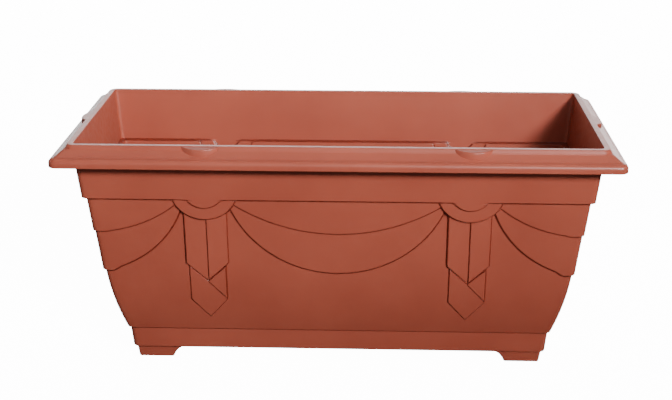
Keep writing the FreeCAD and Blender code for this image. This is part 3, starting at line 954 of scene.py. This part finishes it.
@dataclass
class RimSkin:
    """Down-turned rim: flat top, short drop, slope, bead and skirt, hollow below.

    The section is given by the sizes below and, between them, by stations set to round each edge.
    """

    height: float = 270.0
    throat: float = 277.1
    land: float = 283.4
    drop: float = 285.4
    drop_level: float = 265.7
    bead: float = 294.5
    bead_level: float = 259.0
    bead_radius: float = 5.5
    low: float = 249.0
    wall: float = 2.5
    throat_radius: float = 4.5
    land_radius: float = 9.0
    slope_radius: float = 3.5
    hem_radius: float = 6.5
    throat_round: float = 0.9
    land_round: float = 0.72
    hem_round: float = 0.8
    counts: tuple[int, int, int] = (72, 30, 10)

    @property
    def fall(self) -> float:
        """Fall of the slope for each millimetre outward."""
        return (self.drop_level - self.bead_level) / (self.bead - self.drop)

    @property
    def bead_centre(self) -> Point:
        """Centre of the bead's round."""
        return self.bead, self.bead_level - self.bead_radius

    def top(self) -> list[Station]:
        """Section of the throat's edge, the flat top and the short drop.

        Returns:
            Its points, from the throat outward.
        """
        top, throat, land = self.height, self.throat_round, self.land_round
        points = [(self.throat, top - self.wall, self.throat_radius)]
        points += [(x, z, self.throat_radius + 0.3 * n) for n, (x, z) in enumerate(
            arc((self.throat + throat, top - throat), throat, 180.0, 90.0, 5))]
        points += [(self.throat + 2.2, top, 6.4), (self.land - 2.0, top, 8.4)]
        points += [(x, z, self.land_radius) for x, z in
                   arc((self.land - land, top - land), land, 90.0, 22.0, 4)]
        lean = (self.drop - self.land) / (top - self.drop_level)
        points += [(self.land + lean * down, top - down, self.land_radius) for down in (1.6, 3.4)]
        return points + [(self.drop - 0.05, self.drop_level + 0.35, self.land_radius),
                         (self.drop + 0.25, self.drop_level + 0.02, self.land_radius - 0.6),
                         (self.drop + 0.3, self.drop_level - 0.22, self.slope_radius)]

    def outside(self) -> list[Station]:
        """Section of the slope, the bead, and the skirt down to its hem.

        Returns:
            Its points, from the drop downward.
        """
        points = [(x, self.drop_level - self.fall * (x - self.drop), self.slope_radius)
                  for x in np.linspace(self.drop + 1.0, self.bead - 0.2, 5)]
        tilt = math.degrees(math.atan(self.fall))
        points += [(x, z, self.slope_radius + (x - self.bead)) for x, z in
                   arc(self.bead_centre, self.bead_radius, 90.0 - 0.35 * tilt, 0.0, 10)]
        edge, hem = self.bead + self.bead_radius, self.hem_round
        points += [(edge, self.low + up, self.land_radius) for up in (3.0, 1.0)]
        return points + [(x, z, self.land_radius) for x, z in
                         arc((edge - hem, self.low + hem), hem, 0.0, -90.0, 4)]

    def hollow(self) -> list[Station]:
        """Section of the hollow under the rim, from the hem back to the throat.

        Returns:
            Its points.
        """
        inside = self.bead + self.bead_radius - self.wall
        points = [(inside + 0.3, self.low, self.hem_radius + 0.3), (inside, self.low + 0.4, self.hem_radius)]
        tilt = math.degrees(math.atan(self.fall))
        points += [(x, z, max(self.slope_radius, self.hem_radius - (inside - x))) for x, z in
                   arc(self.bead_centre, self.bead_radius - self.wall, 0.0, 90.0 - 0.8 * tilt, 5)]
        thick = self.wall * math.hypot(1.0, self.fall)
        root = self.drop - self.wall
        meets = self.bead_level - thick + self.fall * (self.bead - root)
        return points + [(root, meets, self.slope_radius),
                         (self.land - self.wall / 2, self.height - self.wall, self.slope_radius)]

    def build(self) -> bpy.types.Mesh:
        """Sweep the section round the rim.

        Returns:
            The mesh.
        """
        shell = Shell("rim_skin")
        section = self.top() + self.outside() + self.hollow()
        rows = [ring(reach, radius, z, self.counts) for reach, z, radius in section]
        shell.add_rows(rows + rows[:1], closed=True)
        return shell.mesh()


@dataclass
class RimLug:
    """Half-round tab on the rim's slope, built for the right end.

    Its edge is rounded: "edge" gives points on it, inward and upward, in shares of "soft".
    """

    rim: RimSkin = field(default_factory=RimSkin)
    root: float = 283.0
    front: float = 292.0
    radius: float = 28.0
    top: float = 269.5
    tilt: float = 1.2
    sunk: float = 0.8
    soft: float = 0.9
    steps: int = 28
    edge: tuple[Point, ...] = ((0.0, -1.0), (0.12, -0.62), (0.38, -0.3), (0.66, -0.1), (1.0, 0.0),
                               (1.6, 0.0), (3.0, 0.0))

    def spot(self, angle: float, inward: float) -> Point:
        """Place in plan at an angle from straight out and a distance in from the edge."""
        far, centre = self.radius - inward, self.front - self.radius
        return max(centre + far * math.cos(angle), self.root), far * math.sin(angle)

    def row(self, angle: float) -> list[Place]:
        """Points of the lug at one angle, from its foot in the slope to its flat top.

        Args:
            angle: Turn from straight out, in radians.

        Returns:
            The points.
        """
        x, y = self.spot(angle, 0.0)
        slope = self.rim.drop_level - self.rim.fall * (x - self.rim.drop)
        found = [(x, y, min(slope, self.rim.drop_level) - self.sunk)]
        for inward, up in self.edge:
            x, y = self.spot(angle, inward * self.soft)
            fall = self.tilt * (x - self.root) / (self.front - self.root)
            found.append((x, y, self.top - fall + up * self.soft))
        return found

    def build(self) -> bpy.types.Mesh:
        """Build one lug.

        Returns:
            The mesh.
        """
        shell = Shell("rim_lug")
        spread = math.acos((self.root - self.front + self.radius) / self.radius)
        rows = [self.row(angle) for angle in np.linspace(-spread, spread, self.steps + 1)]
        shell.add_rows(rows)
        for loop in ([row[-1] for row in rows], [row[0] for row in rows], rows[0] + rows[-1][::-1]):
            shell.add(loop, [tuple(range(len(loop)))])
        return shell.mesh()


@dataclass
class CornerFoot:
    """Hollow front left foot, cut back at its inner ends.

    "sole" and "hollow" give height, distance in and change of the corners' plan radius for
    the rounded sole, and height, distance short of the wall and radius for the hollow.
    """

    top: float = 14.6
    outer_x: float = 230.8
    outer_y: float = 65.8
    inner_x: float = 172.8
    inner_y: float = 21.8
    sweep: float = 16.0
    curve: float = 20.0
    draft: float = 8.0
    wall: float = 2.5
    corner: float = 2.6
    corner_steps: int = 6
    levels: tuple[float, ...] = (14.6, 13.0, 11.0, 9.0, 7.0, 5.0, 3.2, 1.8, 1.0)
    sole: tuple[Place, ...] = ((0.45, 0.14, 0.1), (0.15, 0.4, 0.3), (0.0, 0.9, 0.6))
    hollow: tuple[Place, ...] = ((0.0, 0.5, 0.9), (0.3, 0.1, 0.6), (1.5, 0.0, 0.5), (5.0, 0.0, 0.5),
                                 (10.0, 0.0, 0.5), (14.6, 0.0, 0.5))

    def cut_back(self, z: float) -> float:
        """How far the inner end is cut back by its curve.

        Args:
            z: Height.

        Returns:
            The distance.
        """
        chord = math.hypot(self.sweep, self.top)
        lean = math.atan2(self.top, self.sweep)
        off = math.sqrt(self.curve ** 2 - (chord / 2) ** 2)
        cx = self.sweep / 2 - off * math.sin(lean)
        cz = self.top / 2 - off * math.cos(lean)
        return cx + math.sqrt(max(self.curve ** 2 - (z - cz) ** 2, 0.0))

    def loop(self, z: float, inset: float, radius: float) -> list[Place]:
        """Level outline of the foot.

        Args:
            z: Height.
            inset: Distance in from the outer faces.
            radius: Plan radius of its corners.

        Returns:
            The loop's points.
        """
        lean = (self.top - z) * math.tan(math.radians(self.draft))
        x0, x1 = -(self.outer_x - lean) + inset, -(self.inner_x + self.cut_back(z)) - inset
        y0, y1 = -(self.outer_y - lean) + inset, -(self.inner_y + self.sweep * (1 - z / self.top)) - inset
        spots = ((x1, y0, -1, 1), (x1, y1, -1, -1), (x0, y1, 1, -1), (x0, y0, 1, 1))
        loop = []
        for quarter, (x, y, sx, sy) in enumerate(spots):
            first = 90.0 * (quarter - 1)
            middle = (x + sx * radius, y + sy * radius)
            corner = arc(middle, radius, first, first + 90.0, self.corner_steps)
            loop += [(a, b, z) for a, b in corner]
        return loop

    def build(self) -> bpy.types.Mesh:
        """Build one foot.

        Returns:
            The mesh.
        """
        shell = Shell("corner_foot")
        rows = [self.loop(z, 0.0, self.corner) for z in self.levels]
        rows += [self.loop(z, inward, self.corner - less) for z, inward, less in self.sole]
        rows += [self.loop(z, self.wall - short, radius) for z, short, radius in self.hollow]
        shell.add_rows(rows + rows[:1], closed=True)
        return shell.mesh(sharp=50.0)


# ---------------------------------------------------------------- copies by Geometry Nodes


def add_node(tree: bpy.types.NodeTree, kind: str, values: dict[str | int, object] | None = None,
             **settings: object) -> bpy.types.Node:
    """Add one node to a tree.

    Args:
        tree: Material or geometry tree.
        kind: The node's type name.
        values: Inputs: a socket links, anything else is set on the input.
        settings: Properties of the node.

    Returns:
        The node.
    """
    node = tree.nodes.new(kind)
    for name, value in settings.items():
        setattr(node, name, value)
    for name, value in (values or {}).items():
        if isinstance(value, bpy.types.NodeSocket):
            tree.links.new(value, node.inputs[name])
        else:
            node.inputs[name].default_value = value
    return node


def empty_tree(owner: bpy.types.Material | bpy.types.World) -> bpy.types.NodeTree:
    """Node tree of a new material or world, with nothing in it.

    Args:
        owner: The material or world.

    Returns:
        The tree.
    """
    owner.use_nodes = True
    owner.node_tree.nodes.clear()
    return owner.node_tree


def link(name: str, data: bpy.types.ID) -> bpy.types.Object:
    """Put a mesh, lamp or camera in the scene.

    Args:
        name: Name of the new object.
        data: The mesh, lamp or camera.

    Returns:
        The object, at the origin, unturned and unscaled.
    """
    item = bpy.data.objects.new(name, data)
    bpy.context.scene.collection.objects.link(item)
    return item


class CopyPlan(Enum):
    """How a piece repeats round the trough."""

    LUGS = "two along each long side and one at each end"
    FEET = "one at each corner"


@dataclass
class Copier:
    """Geometry Nodes tree that sets copies of one piece round the trough."""

    plan: CopyPlan
    offset: float = 0.142
    flank: float = FLANK * MM

    def tree(self) -> bpy.types.NodeTree:
        """Build the tree.

        Returns:
            The tree, with inputs for the piece, its places and its material.
        """
        tree = bpy.data.node_groups.new("copies_" + self.plan.name.lower(), "GeometryNodeTree")
        face = tree.interface
        face.new_socket("Piece", in_out="INPUT", socket_type="NodeSocketGeometry")
        for name in ("Offset", "Flank"):
            face.new_socket(name, in_out="INPUT", socket_type="NodeSocketFloat")
        face.new_socket("Material", in_out="INPUT", socket_type="NodeSocketMaterial")
        face.new_socket("Copies", in_out="OUTPUT", socket_type="NodeSocketGeometry")
        given = add_node(tree, "NodeGroupInput").outputs
        half = self.lug_half(tree, given) if self.plan is CopyPlan.LUGS else self.foot_half(tree, given)
        one = add_node(tree, "GeometryNodeGeometryToInstance", {"Geometry": half})
        pair = add_node(tree, "GeometryNodeMeshLine", {"Count": 2, "Offset": (0.0, 0.0, 0.0)})
        index = add_node(tree, "GeometryNodeInputIndex")
        turn = add_node(tree, "ShaderNodeMath", {0: index.outputs[0], 1: math.pi}, operation="MULTIPLY")
        angles = add_node(tree, "ShaderNodeCombineXYZ", {"Z": turn.outputs[0]})
        spun = add_node(tree, "GeometryNodeInstanceOnPoints",
                        {"Points": pair.outputs[0], "Instance": one.outputs[0],
                         "Rotation": angles.outputs[0]})
        real = add_node(tree, "GeometryNodeRealizeInstances", {"Geometry": spun.outputs[0]})
        done = add_node(tree, "GeometryNodeSetMaterial",
                        {"Geometry": real.outputs[0], "Material": given["Material"]})
        add_node(tree, "NodeGroupOutput", {"Copies": done.outputs[0]})
        return tree

    def lug_half(self, tree: bpy.types.NodeTree, given: bpy.types.NodeOutputs) -> bpy.types.NodeSocket:
        """Lugs of one long side and of the right end.

        Args:
            tree: Tree in the making.
            given: Its inputs.

        Returns:
            The socket that holds them.
        """
        back = add_node(tree, "ShaderNodeMath", {0: given["Offset"], 1: -1.0}, operation="MULTIPLY")
        start = add_node(tree, "ShaderNodeCombineXYZ", {"X": back.outputs[0], "Y": given["Flank"]})
        end = add_node(tree, "ShaderNodeCombineXYZ", {"X": given["Offset"], "Y": given["Flank"]})
        line = add_node(tree, "GeometryNodeMeshLine", {"Count": 2, "Start Location": start.outputs[0],
                                                       "Offset": end.outputs[0]}, mode="END_POINTS")
        row = add_node(tree, "GeometryNodeInstanceOnPoints",
                       {"Points": line.outputs[0], "Instance": given["Piece"],
                        "Rotation": (0.0, 0.0, -math.pi / 2)})
        joined = add_node(tree, "GeometryNodeJoinGeometry", {"Geometry": row.outputs[0]})
        tree.links.new(given["Piece"], joined.inputs[0])
        return joined.outputs[0]

    def foot_half(self, tree: bpy.types.NodeTree, given: bpy.types.NodeOutputs) -> bpy.types.NodeSocket:
        """Both front feet, the right one a mirror image with its faces turned back outward.

        Args:
            tree: Tree in the making.
            given: Its inputs.

        Returns:
            The socket that holds them.
        """
        twin = add_node(tree, "GeometryNodeTransform",
                        {"Geometry": given["Piece"], "Scale": (-1.0, 1.0, 1.0)})
        turned = add_node(tree, "GeometryNodeFlipFaces", {"Mesh": twin.outputs[0]})
        joined = add_node(tree, "GeometryNodeJoinGeometry", {"Geometry": turned.outputs[0]})
        tree.links.new(given["Piece"], joined.inputs[0])
        return joined.outputs[0]

    def copies(self, name: str, mesh: bpy.types.Mesh, material: bpy.types.Material) -> bpy.types.Object:
        """Run the tree and keep its result as a plain mesh.

        Args:
            name: Name of the new piece.
            mesh: The piece that repeats.
            material: Its material.

        Returns:
            The object that holds all the copies.
        """
        source = link(name + "_source", mesh)
        tree = self.tree()
        modifier = source.modifiers.new("copies", "NODES")
        modifier.node_group = tree
        values = {"Offset": self.offset, "Flank": self.flank, "Material": material}
        for item in tree.interface.items_tree:
            if item.in_out == "INPUT" and item.name in values:
                modifier[item.identifier] = values[item.name]
        graph = bpy.context.evaluated_depsgraph_get()
        made = bpy.data.meshes.new_from_object(source.evaluated_get(graph))
        made.name = name
        source.modifiers.remove(modifier)
        bpy.data.objects.remove(source)
        LOG.info("%s: %d faces by Geometry Nodes", name, len(made.polygons))
        return link(name, made)


# ---------------------------------------------------------------- finishes


def linear(code: str) -> tuple[float, float, float, float]:
    """Linear colour of an sRGB hex code."""
    parts = [int(code[n:n + 2], 16) / 255.0 for n in (1, 3, 5)]
    return (*(p / 12.92 if p <= 0.04045 else ((p + 0.055) / 1.055) ** 2.4 for p in parts), 1.0)


@dataclass(frozen=True)
class MouldedPolypropylene:
    """Self-coloured injection-moulded polypropylene.

    The eye sees a satin skin from the spark-eroded mould, faint clouds where the melt flowed, and a waxy
    depth because light goes a little way in.  The sides of the relief carry painted shade: a deeper red that
    stands in for the shade along the steps, matched to the photograph's dark lines.  The sides of the relief
    are a deeper red: that is matched to the photograph's dark lines, and why the real moulding is darker
    there isn't known.

    A scale of s draws a pattern about 1/s metres across.  Clouds are about 110 mm, gloss
    patches 6 mm and waves 45 mm, as melt leaves them.  The real grain is under 0.1 mm, too
    fine to show, so it is drawn 0.4 mm across.
    """

    name: str = "moulded_polypropylene"
    colour: str = "#A14F3D"
    cloud: str = "#994938"
    # colour of the painted shade on the sides of steps
    side: str = "#702818"
    roughness: float = 0.34
    duller: float = 0.05
    glossier: float = 0.04
    refraction: float = 1.49
    waxy: float = 0.08
    waxy_depth: float = 0.0012
    cloud_scale: float = 9.0
    patch_scale: float = 160.0
    grain_scale: float = 2600.0
    grain_height: float = 0.00002
    wave_scale: float = 22.0
    wave_height: float = 0.0004

    def build(self) -> bpy.types.Material:
        """Build the material.

        Returns:
            The material.
        """
        material = bpy.data.materials.new(self.name)
        tree = empty_tree(material)
        where = add_node(tree, "ShaderNodeTexCoord").outputs["Object"]
        clouds = add_node(tree, "ShaderNodeTexNoise",
                          {"Vector": where, "Scale": self.cloud_scale, "Detail": 3.0, "Roughness": 0.55})
        spread = add_node(tree, "ShaderNodeMapRange",
                          {"Value": clouds.outputs[0], "From Min": 0.35, "From Max": 0.65})
        colour = add_node(tree, "ShaderNodeMix", {0: spread.outputs[0], 6: linear(self.colour),
                                                  7: linear(self.cloud)}, data_type="RGBA")
        # painted shade: the sides of steps, by the mesh attribute, are mixed toward the darker red
        sides = add_node(tree, "ShaderNodeAttribute", attribute_name=PAINTED_SHADE)
        shaded_colour = add_node(tree, "ShaderNodeMix", {0: sides.outputs["Fac"], 6: colour.outputs[2],
                                                7: linear(self.side)}, data_type="RGBA")
        patches = add_node(tree, "ShaderNodeTexNoise",
                           {"Vector": where, "Scale": self.patch_scale, "Detail": 4.0})
        gloss = add_node(tree, "ShaderNodeMapRange",
                         {"Value": patches.outputs[0], "From Min": 0.3, "From Max": 0.7,
                          "To Min": self.roughness - self.glossier,
                          "To Max": self.roughness + self.duller})
        waves = add_node(tree, "ShaderNodeTexNoise",
                         {"Vector": where, "Scale": self.wave_scale, "Detail": 1.0})
        swell = add_node(tree, "ShaderNodeBump", {"Height": waves.outputs[0], "Strength": 0.35,
                                                  "Distance": self.wave_height})
        grains = add_node(tree, "ShaderNodeTexNoise",
                          {"Vector": where, "Scale": self.grain_scale, "Detail": 2.0})
        grain = add_node(tree, "ShaderNodeBump",
                         {"Height": grains.outputs[0], "Strength": 0.6, "Distance": self.grain_height,
                          "Normal": swell.outputs[0]})
        surface = add_node(tree, "ShaderNodeBsdfPrincipled",
                           {"Base Color": shaded_colour.outputs[2], "Roughness": gloss.outputs[0],
                            "IOR": self.refraction, "Normal": grain.outputs[0],
                            "Subsurface Weight": self.waxy, "Subsurface Radius": (1.0, 0.35, 0.2),
                            "Subsurface Scale": self.waxy_depth})
        add_node(tree, "ShaderNodeOutputMaterial", {"Surface": surface.outputs[0]})
        return material


@dataclass(frozen=True)
class PaleFloor:
    """Matt white studio board.  It glows by itself, so that it comes out an even white."""

    name: str = "studio_floor"
    colour: str = "#FDFDFD"
    glow: float = 14.0
    smear_scale: float = 3.0

    def build(self) -> bpy.types.Material:
        """Build the material.

        Returns:
            The material.
        """
        material = bpy.data.materials.new(self.name)
        tree = empty_tree(material)
        where = add_node(tree, "ShaderNodeTexCoord").outputs["Object"]
        noise = add_node(tree, "ShaderNodeTexNoise", {"Vector": where, "Scale": self.smear_scale})
        rough = add_node(tree, "ShaderNodeMapRange",
                         {"Value": noise.outputs[0], "To Min": 0.8, "To Max": 0.9})
        surface = add_node(tree, "ShaderNodeBsdfPrincipled",
                           {"Base Color": linear(self.colour), "Roughness": rough.outputs[0],
                            "Specular IOR Level": 0.1, "Emission Color": linear(self.colour),
                            "Emission Strength": self.glow})
        add_node(tree, "ShaderNodeOutputMaterial", {"Surface": surface.outputs[0]})
        return material


# ---------------------------------------------------------------- the scene


@dataclass
class Planter:
    """The dressed planter: skin, rim, lugs and feet on the body "root"."""

    material: bpy.types.Material

    def show(self, piece: bpy.types.Object, nodes: Sequence[str]) -> None:
        """Give a piece its material and its place in the frame.

        Args:
            piece: The piece.
            nodes: CAD nodes that it stands for.
        """
        if not piece.data.materials:
            piece.data.materials.append(self.material)
        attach(piece, "root")
        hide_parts(*nodes)
        LOG.info("%s stands for %s", piece.name, ", ".join(nodes))

    def build(self) -> None:
        """Build every piece."""
        self.show(link("trough_skin", TroughSkin().build()),
                  ("wall_front", "wall_back", "wall_left_end", "wall_right_end", "trough_floor"))
        self.show(link("rim_skin", RimSkin().build()), ("rim",))
        lugs = Copier(CopyPlan.LUGS).copies("rim_lugs", RimLug().build(), self.material)
        self.show(lugs, ("lug_front_left", "lug_front_right", "lug_back_left", "lug_back_right",
                         "lug_left_end", "lug_right_end"))
        feet = Copier(CopyPlan.FEET).copies("corner_feet", CornerFoot().build(), self.material)
        self.show(feet, ("foot_front_left", "foot_front_right", "foot_back_left", "foot_back_right"))


RIM = (0.0, -0.12, 0.25)  # what most lamps point at: the front rim
ABOVE = (0.04, -0.12, 1.15)  # over the planter, so that the key light falls off downward


@dataclass(frozen=True)
class SoftBox:
    """One soft lamp: metres, watts, and the angle in degrees that its grid lets out."""

    name: str
    place: Place
    aim: Place
    size: Point
    power: float
    spread: float = 180.0

    def build(self) -> None:
        """Hang the lamp and point it at its aim."""
        data = bpy.data.lights.new(self.name, "AREA")
        data.shape = "RECTANGLE"
        data.size, data.size_y = self.size
        data.energy = self.power
        data.spread = math.radians(self.spread)
        light = link(self.name, data)
        light.location = self.place
        light.rotation_euler = (Vector(self.aim) - Vector(self.place)).to_track_quat("-Z", "Y").to_euler()


@dataclass(frozen=True)
class Studio:
    """Camera, floor and soft light.

    "bands" gives the surroundings' brightness from 0, straight down, to 1, straight up.
    """

    camera_place: Place = (0.0422, -1.3608, 0.6542)
    camera_turn: Place = (1.2295, 0.0, 0.0344)
    lens: float = 67.32
    sensor: float = 36.0
    floor_reach: float = 30.0
    bands: tuple[Point, ...] = ((0.3, 0.03), (1.0, 0.06), (0.4, 0.08), (0.475, 0.4), (0.55, 0.5),
                                (0.75, 0.2))
    lamps: tuple[SoftBox, ...] = (
        SoftBox("key", (1.4, -2.5, 1.65), ABOVE, (0.6, 0.6), 30.0, spread=56.0),
        SoftBox("front", (0.4, -2.6, 1.75), RIM, (1.6, 0.5), 7.5),
        SoftBox("back", (0.4, 2.8, 1.1), RIM, (4.0, 1.4), 56.0),
        SoftBox("top", (0.0, 0.0, 3.0), RIM, (3.0, 2.4), 11.0),
        SoftBox("rear", (-1.7, 2.3, 0.32), RIM, (1.2, 0.5), 9.0),
        SoftBox("rear", (1.7, 2.3, 0.32), RIM, (1.2, 0.5), 9.0))

    def floor(self) -> None:
        """Add the floor that the feet stand on.  It throws no light back on the planter."""
        mesh = bpy.data.meshes.new("studio_floor")
        far = self.floor_reach
        corners = [(-far, -far, 0), (far, -far, 0), (far, far, 0), (-far, far, 0)]
        mesh.from_pydata(corners, [], [(0, 1, 2, 3)])
        mesh.materials.append(PaleFloor().build())
        piece = link("studio_floor", mesh)
        piece.visible_diffuse = False
        piece.visible_glossy = False

    def camera(self) -> None:
        """Add the camera that was fitted to the photograph."""
        data = bpy.data.cameras.new("camera")
        data.lens = self.lens
        data.sensor_width = self.sensor
        view = link("camera", data)
        view.location = self.camera_place
        view.rotation_euler = self.camera_turn
        bpy.context.scene.camera = view

    def world(self) -> None:
        """White surroundings, bright in a band round the horizon and dark below."""
        world = bpy.data.worlds.new("studio")
        tree = empty_tree(world)
        where = add_node(tree, "ShaderNodeTexCoord").outputs["Generated"]
        height = add_node(tree, "ShaderNodeSeparateXYZ", {"Vector": where}).outputs["Z"]
        rise = add_node(tree, "ShaderNodeMapRange", {"Value": height, "From Min": -1.0, "From Max": 1.0})
        bands = add_node(tree, "ShaderNodeValToRGB", {"Fac": rise.outputs[0]})
        ramp = bands.color_ramp
        for index, (spot, level) in enumerate(self.bands):
            stop = ramp.elements[index] if index < 2 else ramp.elements.new(spot)
            stop.position, stop.color = spot, (level, level, level, 1.0)
        light = add_node(tree, "ShaderNodeBackground", {"Color": bands.outputs[0], "Strength": 1.0})
        add_node(tree, "ShaderNodeOutputWorld", {"Surface": light.outputs[0]})
        bpy.context.scene.world = world

    def build(self) -> None:
        """Set the scene."""
        self.floor()
        self.camera()
        self.world()
        for lamp in self.lamps:
            lamp.build()


def main() -> None:
    """Build the scene."""
    logging.basicConfig(level=logging.INFO, format="%(name)s: %(message)s")
    Planter(MouldedPolypropylene().build()).build()
    Studio().build()


if __name__ == "__main__":
    main()
